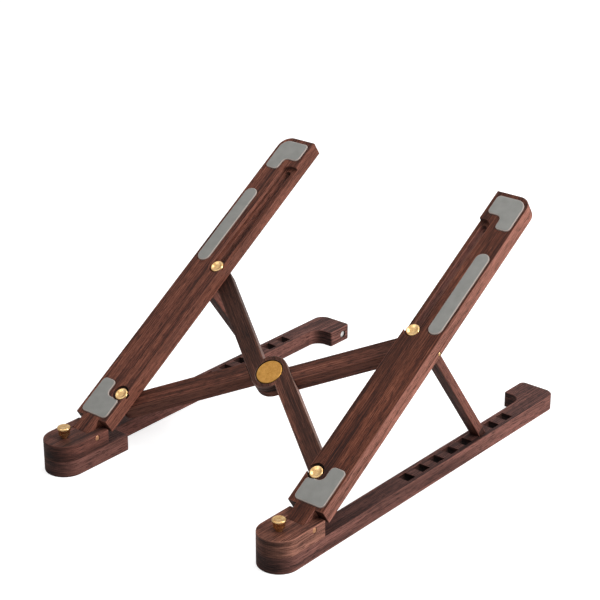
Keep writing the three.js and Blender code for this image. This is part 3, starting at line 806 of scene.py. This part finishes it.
class Shader:
    """A material's node tree, with one call for each node: inputs are sockets to join or values."""

    def __init__(self, name):
        self.material = bpy.data.materials.new(name)
        self.material.use_nodes = True
        self.tree = self.material.node_tree
        self.surface = self.tree.nodes["Principled BSDF"]

    def add(self, kind, inputs, output=0, **settings):
        node = self.tree.nodes.new(kind)
        for name, value in settings.items():
            setattr(node, name, value)
        for name, value in inputs.items():
            self.give(node.inputs[name], value)
        return node.outputs[output]

    def give(self, socket, value):
        if isinstance(value, bpy.types.NodeSocket):
            self.tree.links.new(value, socket)
        else:
            socket.default_value = value

    def attribute(self, name, output):
        return self.add("ShaderNodeAttribute", {}, output, attribute_name=name)

    def local(self, scale):
        """The piece's own millimetres, scaled."""
        place = self.attribute("local", "Vector")
        return self.add("ShaderNodeMapping", {"Vector": place, "Scale": scale}, vector_type="POINT")

    def noise(self, scale, detail=3.0, roughness=0.5, distortion=0.0, place=None):
        """Noise of so many cells per millimetre along x, y and z."""
        if place is None:
            vector = self.local(scale)
        else:
            vector = self.add("ShaderNodeVectorMath", {0: place, 1: scale}, operation="MULTIPLY")
        return self.add("ShaderNodeTexNoise", {"Vector": vector, "Scale": 1.0, "Detail": detail,
                                               "Roughness": roughness, "Distortion": distortion})

    def math(self, operation, first, second):
        return self.add("ShaderNodeMath", {0: first, 1: second}, operation=operation)

    def split(self, vector, axis):
        return self.add("ShaderNodeSeparateXYZ", {"Vector": vector}, axis)

    def remap(self, value, low, high, to_low=0.0, to_high=1.0):
        return self.add("ShaderNodeMapRange", {"Value": value, "From Min": low, "From Max": high,
                                               "To Min": to_low, "To Max": to_high})

    def ramp(self, value, stops):
        node = self.tree.nodes.new("ShaderNodeValToRGB")
        elements = node.color_ramp.elements
        while len(elements) < len(stops):
            elements.new(0.5)
        for element, (position, colour) in zip(elements, stops):
            element.position = position
            element.color = colour
        self.give(node.inputs["Fac"], value)
        return node.outputs["Color"]

    def mix(self, share, first, second, blend="MIX"):
        node = self.tree.nodes.new("ShaderNodeMix")
        node.data_type = "RGBA"
        node.blend_type = blend
        self.give(node.inputs[0], share)
        self.give(node.inputs[6], first)
        self.give(node.inputs[7], second)
        return node.outputs[2]

    def bump(self, height, depth, strength):
        """A bump of the given depth in millimetres."""
        return self.add("ShaderNodeBump", {"Height": height, "Distance": depth * MM,
                                           "Strength": strength})

    def finish(self, **inputs):
        for name, value in inputs.items():
            self.give(self.surface.inputs[name.replace("_", " ")], value)
        return self.material


# How much of its brightness walnut keeps on cut walls, as painted shade, and on the ends of a piece, as darker end
# grain with painted shade.
CUT_WALL_PAINTED_SHADE = 0.26
END_GRAIN_AND_PAINTED_SHADE = 0.5


def board_place(s):
    """Millimetres in the board, with the layers laid flat where a wall stands across them, so
    that a rounded end shows level bands instead of blotches."""
    x, y, z = (s.split(s.attribute("local", "Vector"), axis) for axis in "XYZ")
    flat = s.remap(s.split(s.attribute("facing", "Vector"), "Z"), 0.3, 0.8, 0.05, 1.0)
    return s.add("ShaderNodeCombineXYZ", {"X": s.math("MULTIPLY", x, flat), "Y": y, "Z": z})


def walnut(name, dark, middle, light, flank, tan=None,
           side_tone_and_light=0.7, painted_rim_lift=0.4, ends=(1.0, 1.0)):
    """Oiled dark walnut: straight fine fibres along the piece, tan lines, wide light and dark
    zones and open pores. Its sides take the tone of flank, a side-grain tone that also holds
    painted light from the lamp at the side. Cut walls get painted shade, the ends of the piece
    darker end grain with painted shade, and rounded edges a painted highlight. tan is the
    palest line on a face, flank if not given. ends is how bright the two ends are, from the
    low end of y to the high one: painted sheen and shade."""
    s = Shader(name)
    tan = tan or flank
    place = board_place(s)
    figure = s.noise((0.24, 0.008, 0.34), detail=3, roughness=0.55, distortion=0.3, place=place)
    streaks = s.noise((1.90, 0.020, 2.30), detail=5, roughness=0.66, place=place)
    fibres = s.noise((5.50, 0.160, 5.50), detail=4, roughness=0.7, place=place)
    zones = s.noise((0.075, 0.013, 0.10), detail=2, place=place)
    grain = s.math("ADD", s.math("MULTIPLY", streaks, 0.40), s.math("MULTIPLY", fibres, 0.36))
    grain = s.math("ADD", grain, s.math("MULTIPLY", figure, 0.24))
    share = s.remap(grain, 0.42, 0.585)
    colour = s.ramp(share, [(0.0, dark), (0.42, middle), (0.80, light), (1.0, tan)])
    # The sides take flank: a side-grain tone together with painted light for the sides that face the key light.
    sides = s.ramp(share, [(0.0, middle), (0.58, flank), (1.0, flank)])
    side_tone_and_light_share = s.math("MULTIPLY", s.split(s.attribute("facing", "Vector"), "X"), side_tone_and_light)
    colour = s.mix(side_tone_and_light_share, colour, sides)
    colour = s.mix(1.0, colour, s.remap(zones, 0.32, 0.68, 0.60, 1.40), "MULTIPLY")
    lines = s.remap(s.noise((3.40, 0.016, 3.40), detail=2, place=place), 0.60, 0.67)
    colour = s.mix(s.math("MULTIPLY", lines, 0.45), colour, tan)
    pores = s.remap(s.noise((2.40, 0.17, 2.40), detail=3, place=place), 0.54, 0.63)
    colour = s.mix(s.math("MULTIPLY", pores, 0.75), colour, dark)
    # Painted highlight: rounded edges are lightened toward flank, more in some zones than others.
    rim_highlight = s.remap(zones, 0.3, 0.7, painted_rim_lift * 0.4, painted_rim_lift)
    painted_rim_highlight = s.math("MULTIPLY", s.attribute("edge", "Fac"), rim_highlight)
    colour = s.mix(painted_rim_highlight, colour, flank)
    # Painted sheen and shade: one end of the piece is brighter than the other.
    shade = s.remap(s.attribute("along", "Fac"), 0.30, 0.70, *ends)
    # Painted shade inside cuts: the walls that the cuts left are darkened.
    painted_shade_wall = s.attribute("painted_shade_wall", "Fac")
    shade = s.math("MULTIPLY", shade, s.remap(painted_shade_wall, 0.0, 1.0, 1.0, CUT_WALL_PAINTED_SHADE))
    # Darker end grain together with painted shade: faces across the length of the piece are darkened.
    end_shade_share = s.split(s.attribute("facing", "Vector"), "Y")
    shade = s.math("MULTIPLY", shade, s.remap(end_shade_share, 0.2, 0.9, 1.0, END_GRAIN_AND_PAINTED_SHADE))
    colour = s.mix(1.0, colour, shade, "MULTIPLY")
    height = s.math("SUBTRACT", fibres, s.math("MULTIPLY", pores, 0.8))
    return s.finish(
        Base_Color=colour,
        Roughness=s.remap(streaks, 0.3, 0.7, 0.66, 0.48),
        Specular_IOR_Level=0.14,
        Normal=s.bump(height, 0.06, 0.5),
    )


def turned_brass(name, colour, shade, roughness, marks):
    """Brass with the fine rings that turning leaves, slight tarnish and a few rubbed spots. marks
    is the depth of the rings in millimetres."""
    s = Shader(name)
    place = s.local((1, 1, 0))
    radius = s.add("ShaderNodeVectorMath", {0: place}, "Value", operation="LENGTH")
    ring_place = s.add("ShaderNodeCombineXYZ", {"X": s.math("MULTIPLY", radius, 6.0)})
    rings = s.add("ShaderNodeTexNoise", {"Vector": ring_place, "Scale": 1.0, "Detail": 4.0,
                                         "Roughness": 0.7})
    tarnish = s.noise((0.45, 0.45, 0.45), detail=5, roughness=0.65)
    specks = s.noise((2.4, 2.4, 2.4), detail=3, roughness=0.6)
    mottle = s.math("ADD", s.math("MULTIPLY", tarnish, 0.6), s.math("MULTIPLY", specks, 0.4))
    tone = s.mix(s.remap(mottle, 0.36, 0.64), shade, colour)
    height = s.math("ADD", rings, s.math("MULTIPLY", specks, 0.5))
    return s.finish(
        Base_Color=tone,
        Metallic=1.0,
        Roughness=s.remap(mottle, 0.35, 0.65, roughness * 1.25, roughness * 0.8),
        Normal=s.bump(height, marks, 0.5),
    )


def soft_silicone(name):
    """Matt grey silicone with a fine moulded tooth, and a painted highlight that lightens the rounded rim."""
    s = Shader(name)
    clouds = s.noise((0.16, 0.16, 0.16), detail=4)
    tooth = s.noise((7.0, 7.0, 7.0), detail=2)
    mottle = s.math("ADD", s.math("MULTIPLY", clouds, 0.7), s.math("MULTIPLY", tooth, 0.3))
    colour = s.mix(s.remap(mottle, 0.35, 0.65), linear(134, 134, 130), linear(146, 145, 141))
    # Painted highlight on the rounded rim.
    rim = s.math("MULTIPLY", s.attribute("edge", "Fac"), 0.8)
    colour = s.mix(rim, colour, linear(188, 172, 163))
    return s.finish(
        Base_Color=colour,
        Roughness=s.remap(tooth, 0.3, 0.7, 0.68, 0.82),
        Specular_IOR_Level=0.3,
        Sheen_Weight=0.12,
        Sheen_Roughness=0.5,
        Normal=s.bump(tooth, 0.03, 0.6),
    )


def nickel(name):
    """Plated nickel, dulled by fine scuffs."""
    s = Shader(name)
    scuffs = s.noise((1.6, 1.6, 1.6), detail=5, roughness=0.7)
    colour = s.mix(s.remap(scuffs, 0.4, 0.6), linear(226, 223, 218), linear(248, 246, 243))
    return s.finish(
        Base_Color=colour,
        Metallic=0.55,
        Roughness=s.remap(scuffs, 0.3, 0.7, 0.3, 0.46),
        Normal=s.bump(scuffs, 0.02, 0.4),
    )


rail_walnut = walnut(
    "rail_walnut",
    dark=linear(30, 18, 17),
    middle=linear(66, 42, 38),
    light=linear(98, 64, 57),
    flank=linear(134, 88, 78),
    # Painted sheen: brighter toward the back ends.
    ends=(1.05, 1.28),
)
left_foot_walnut = walnut(
    "foot_walnut_left",
    dark=linear(34, 20, 18),
    middle=linear(70, 43, 37),
    light=linear(100, 62, 52),
    flank=linear(124, 76, 65),
)
# A paler flank and more side lift than the left foot: painted light on its outer side, which faces the key light.
right_foot_walnut = walnut(
    "foot_walnut_right",
    dark=linear(44, 24, 19),
    middle=linear(84, 50, 40),
    light=linear(118, 74, 60),
    flank=linear(172, 118, 100),
    tan=linear(140, 92, 76),
    side_tone_and_light=0.9,
)
left_arm_walnut = walnut(
    "arm_walnut_left",
    dark=linear(36, 18, 15),
    middle=linear(80, 44, 34),
    light=linear(124, 74, 57),
    flank=linear(140, 88, 72),
)
# A paler flank and more side lift than the left arm: painted light on its outer side, which faces the key light.
right_arm_walnut = walnut(
    "arm_walnut_right",
    dark=linear(28, 13, 10),
    middle=linear(66, 33, 23),
    light=linear(102, 57, 41),
    flank=linear(168, 111, 95),
    tan=linear(128, 78, 60),
    side_tone_and_light=0.95,
)
bar_a_walnut = walnut(
    "bar_walnut_a",
    dark=linear(30, 16, 13),
    middle=linear(74, 42, 32),
    light=linear(108, 64, 51),
    flank=linear(126, 80, 66),
)
bar_b_walnut = walnut(
    "bar_walnut_b",
    dark=linear(30, 17, 14),
    middle=linear(62, 36, 28),
    light=linear(84, 51, 40),
    # The pale flank is a painted highlight on the bar's narrow lit side.
    flank=linear(160, 130, 120),
    tan=linear(106, 68, 55),
    painted_rim_lift=0.2,
    # Painted light: brighter at the low end of y, darker at the high end.
    ends=(1.6, 0.62),
)
prop_walnut = walnut(
    "prop_walnut",
    dark=linear(34, 19, 16),
    middle=linear(76, 44, 35),
    light=linear(108, 67, 54),
    flank=linear(134, 84, 72),
)
brass = turned_brass("turned_brass", linear(248, 212, 156), linear(188, 140, 80),
                     roughness=0.22, marks=0.014)
hub_brass = turned_brass("matt_brass", linear(196, 148, 78), linear(160, 114, 54),
                         roughness=0.46, marks=0.03)
dull_brass = turned_brass("dull_brass", linear(226, 172, 130), linear(184, 132, 96),
                          roughness=0.45, marks=0.02)
silicone = soft_silicone("soft_silicone")
magnet_nickel = nickel("nickel")


# ------------------------------------------------------------------ assembly

def lay_along_x(place):
    """The same place with z turned to run along +x."""
    return place @ Matrix.Rotation(math.pi / 2, 4, "Y")


def build_side(word, side):
    arm_walnut = left_arm_walnut if side < 0 else right_arm_walnut
    foot_walnut = left_foot_walnut if side < 0 else right_foot_walnut
    seed = 1 if side < 0 else 4
    settle(f"{word}_base_rail", base_rail(side), BASE, rail_walnut, seed)
    settle(f"{word}_foot_block", foot_block(side), BASE, foot_walnut, seed + 1)
    settle(f"{word}_foot_post", foot_post(), shifted(BASE, side * FOOT_MID_X, POST_Y),
           brass)

    foot_pin_start = min(side * FOOT_X, side * OUTER_X)
    settle(f"{word}_foot_pin", pin(PIN_RADIUS, OUTER_X - FOOT_X),
           lay_along_x(shifted(BASE, foot_pin_start, PIN_Y, PIN_Z)), dull_brass)
    magnet_start = min(side * magnet_low.x, side * magnet_high.x)
    settle(f"{word}_magnet", pin(MAGNET_RADIUS, magnet_high.x - magnet_low.x),
           lay_along_x(shifted(BASE, magnet_start, MAGNET_Y, RAIL_TOP / 2)), magnet_nickel)

    settle(f"{word}_arm", arm(side), ARMS, arm_walnut, seed + 2)
    for spot in PAD_OUTLINES:
        settle(f"{word}_{spot}_pad", pad(side, spot), ARMS, silicone, seed)
    for spot, y in (("lower", LOWER_SCREW_Y), ("upper", UPPER_SCREW_Y)):
        axis = shifted(ARMS, side * SCREW_X, y)
        settle(f"{word}_{spot}_screw", screw(), axis, brass)
        settle(f"{word}_{spot}_nut", nut(NUT_RADIUS, SHANK_RADIUS + GAP), axis, brass)

    prop_pin_start = min(side * prop_pin_low.x, side * prop_pin_high.x)
    pivot = shifted(ARMS, 0, PROP_PIVOT_Y, PROP_PIVOT_Z)
    settle(f"{word}_prop_pin", pin(PROP_PIN_RADIUS, prop_pin_high.x - prop_pin_low.x),
           lay_along_x(shifted(pivot, prop_pin_start, 0)), brass)
    leaning = pivot @ Matrix.Rotation(-PROP_LEAN - TILT, 4, "X")
    settle(f"{word}_prop", prop(side), leaning, prop_walnut, seed + 3)


def build_brace():
    hub = shifted(ARMS, 0, HUB_Y)
    bar_a_place = hub @ Matrix.Rotation(-OPEN_ANGLE, 4, "Z")
    bar_b_place = hub @ Matrix.Rotation(OPEN_ANGLE, 4, "Z")
    settle("scissor_bar_a", scissor_bar(1), bar_a_place, bar_a_walnut, 9)
    settle("scissor_bar_b", scissor_bar(-1), bar_b_place, bar_b_walnut, 10)
    settle("hub_pin", hub_pin(), hub, hub_brass)
    settle("hub_nut", nut(HUB_NUT_RADIUS, HUB_SHANK_RADIUS + GAP), hub, brass)


# ------------------------------------------------------------------ studio

STAND_MIDDLE = Vector((0, 0, 0.08))
FLOOR_SIZE = 12
FLOOR_GREY = 0.7
FLOOR_GLOW = 0.7

# The backdrop's brightness: in reflections at the horizon, and as a light on matt surfaces.
HORIZON_SHINE = 0.36
FULL_SHINE_HEIGHT = 0.85
MATT_LEVEL = 0.30

CAMERA_TARGET = Vector((0.0007, -0.005, 0.0923))
CAMERA_AZIMUTH = math.radians(39.9)
CAMERA_ELEVATION = math.radians(23.1)
CAMERA_DISTANCE = 1.0325
LENS = 105.6
SENSOR_WIDTH = 36


def floor():
    """A plain pale floor that fades into the backdrop. Only the camera sees its glow."""
    bpy.ops.mesh.primitive_plane_add(size=FLOOR_SIZE)
    plane = bpy.context.object
    plane.name = "floor"
    s = Shader("floor_paper")
    to_camera = s.add("ShaderNodeLightPath", {}, "Is Camera Ray")
    s.finish(
        Base_Color=(FLOOR_GREY, FLOOR_GREY, FLOOR_GREY, 1),
        Roughness=0.95,
        Specular_IOR_Level=0.0,
        Emission_Color=(1, 1, 1, 1),
        Emission_Strength=s.math("MULTIPLY", to_camera, FLOOR_GLOW),
    )
    plane.data.materials.append(s.material)


def softbox(name, direction, distance, size, power):
    """A square white light that faces the middle of the stand."""
    data = bpy.data.lights.new(name, "AREA")
    data.size = size
    data.energy = power
    light = bpy.data.objects.new(name, data)
    toward = Vector(direction).normalized()
    light.location = toward * distance + STAND_MIDDLE
    light.rotation_euler = toward.to_track_quat("Z", "Y").to_euler()
    bpy.context.scene.collection.objects.link(light)


def backdrop():
    """White to the eye. Reflections see it darken toward the horizon, and as a light it is dim."""
    world = bpy.data.worlds.new("studio")
    bpy.context.scene.world = world
    world.use_nodes = True
    tree = world.node_tree
    add = tree.nodes.new
    shine = tree.nodes["Background"]
    shine.inputs["Color"].default_value = (1, 1, 1, 1)
    path = add("ShaderNodeLightPath")
    place = add("ShaderNodeTexCoord")
    axes = add("ShaderNodeSeparateXYZ")
    tree.links.new(place.outputs["Generated"], axes.inputs[0])
    sky = add("ShaderNodeMapRange")
    sky.inputs["From Max"].default_value = FULL_SHINE_HEIGHT
    sky.inputs["To Min"].default_value = HORIZON_SHINE
    tree.links.new(axes.outputs["Z"], sky.inputs["Value"])
    glossy = add("ShaderNodeMix")
    glossy.inputs["A"].default_value = 1.0
    tree.links.new(path.outputs["Is Glossy Ray"], glossy.inputs["Factor"])
    tree.links.new(sky.outputs["Result"], glossy.inputs["B"])
    level = add("ShaderNodeMix")
    level.inputs["B"].default_value = MATT_LEVEL
    tree.links.new(path.outputs["Is Diffuse Ray"], level.inputs["Factor"])
    tree.links.new(glossy.outputs["Result"], level.inputs["A"])
    tree.links.new(level.outputs["Result"], shine.inputs["Strength"])


def camera():
    data = bpy.data.cameras.new("camera")
    data.sensor_width = SENSOR_WIDTH
    data.lens = LENS
    data.clip_start = 0.01
    level = math.cos(CAMERA_ELEVATION)
    back = Vector((
        math.sin(CAMERA_AZIMUTH) * level,
        -math.cos(CAMERA_AZIMUTH) * level,
        math.sin(CAMERA_ELEVATION),
    ))
    eye = bpy.data.objects.new("camera", data)
    eye.location = CAMERA_TARGET + back * CAMERA_DISTANCE
    eye.rotation_euler = back.to_track_quat("Z", "Y").to_euler()
    bpy.context.scene.collection.objects.link(eye)
    bpy.context.scene.camera = eye


for word, side in SIDES.items():
    build_side(word, side)
build_brace()
for material in scratch:
    bpy.data.materials.remove(material)

floor()
backdrop()
softbox("key", direction=(0.85, 0.28, 0.62), distance=1.4, size=0.7, power=15)
softbox("fill", direction=(-0.35, -0.8, 0.75), distance=1.6, size=0.9, power=3)
softbox("top", direction=(0.0, 0.15, 1.0), distance=1.5, size=0.8, power=6.5)
camera()
bpy.context.scene.view_settings.view_transform = "Standard"
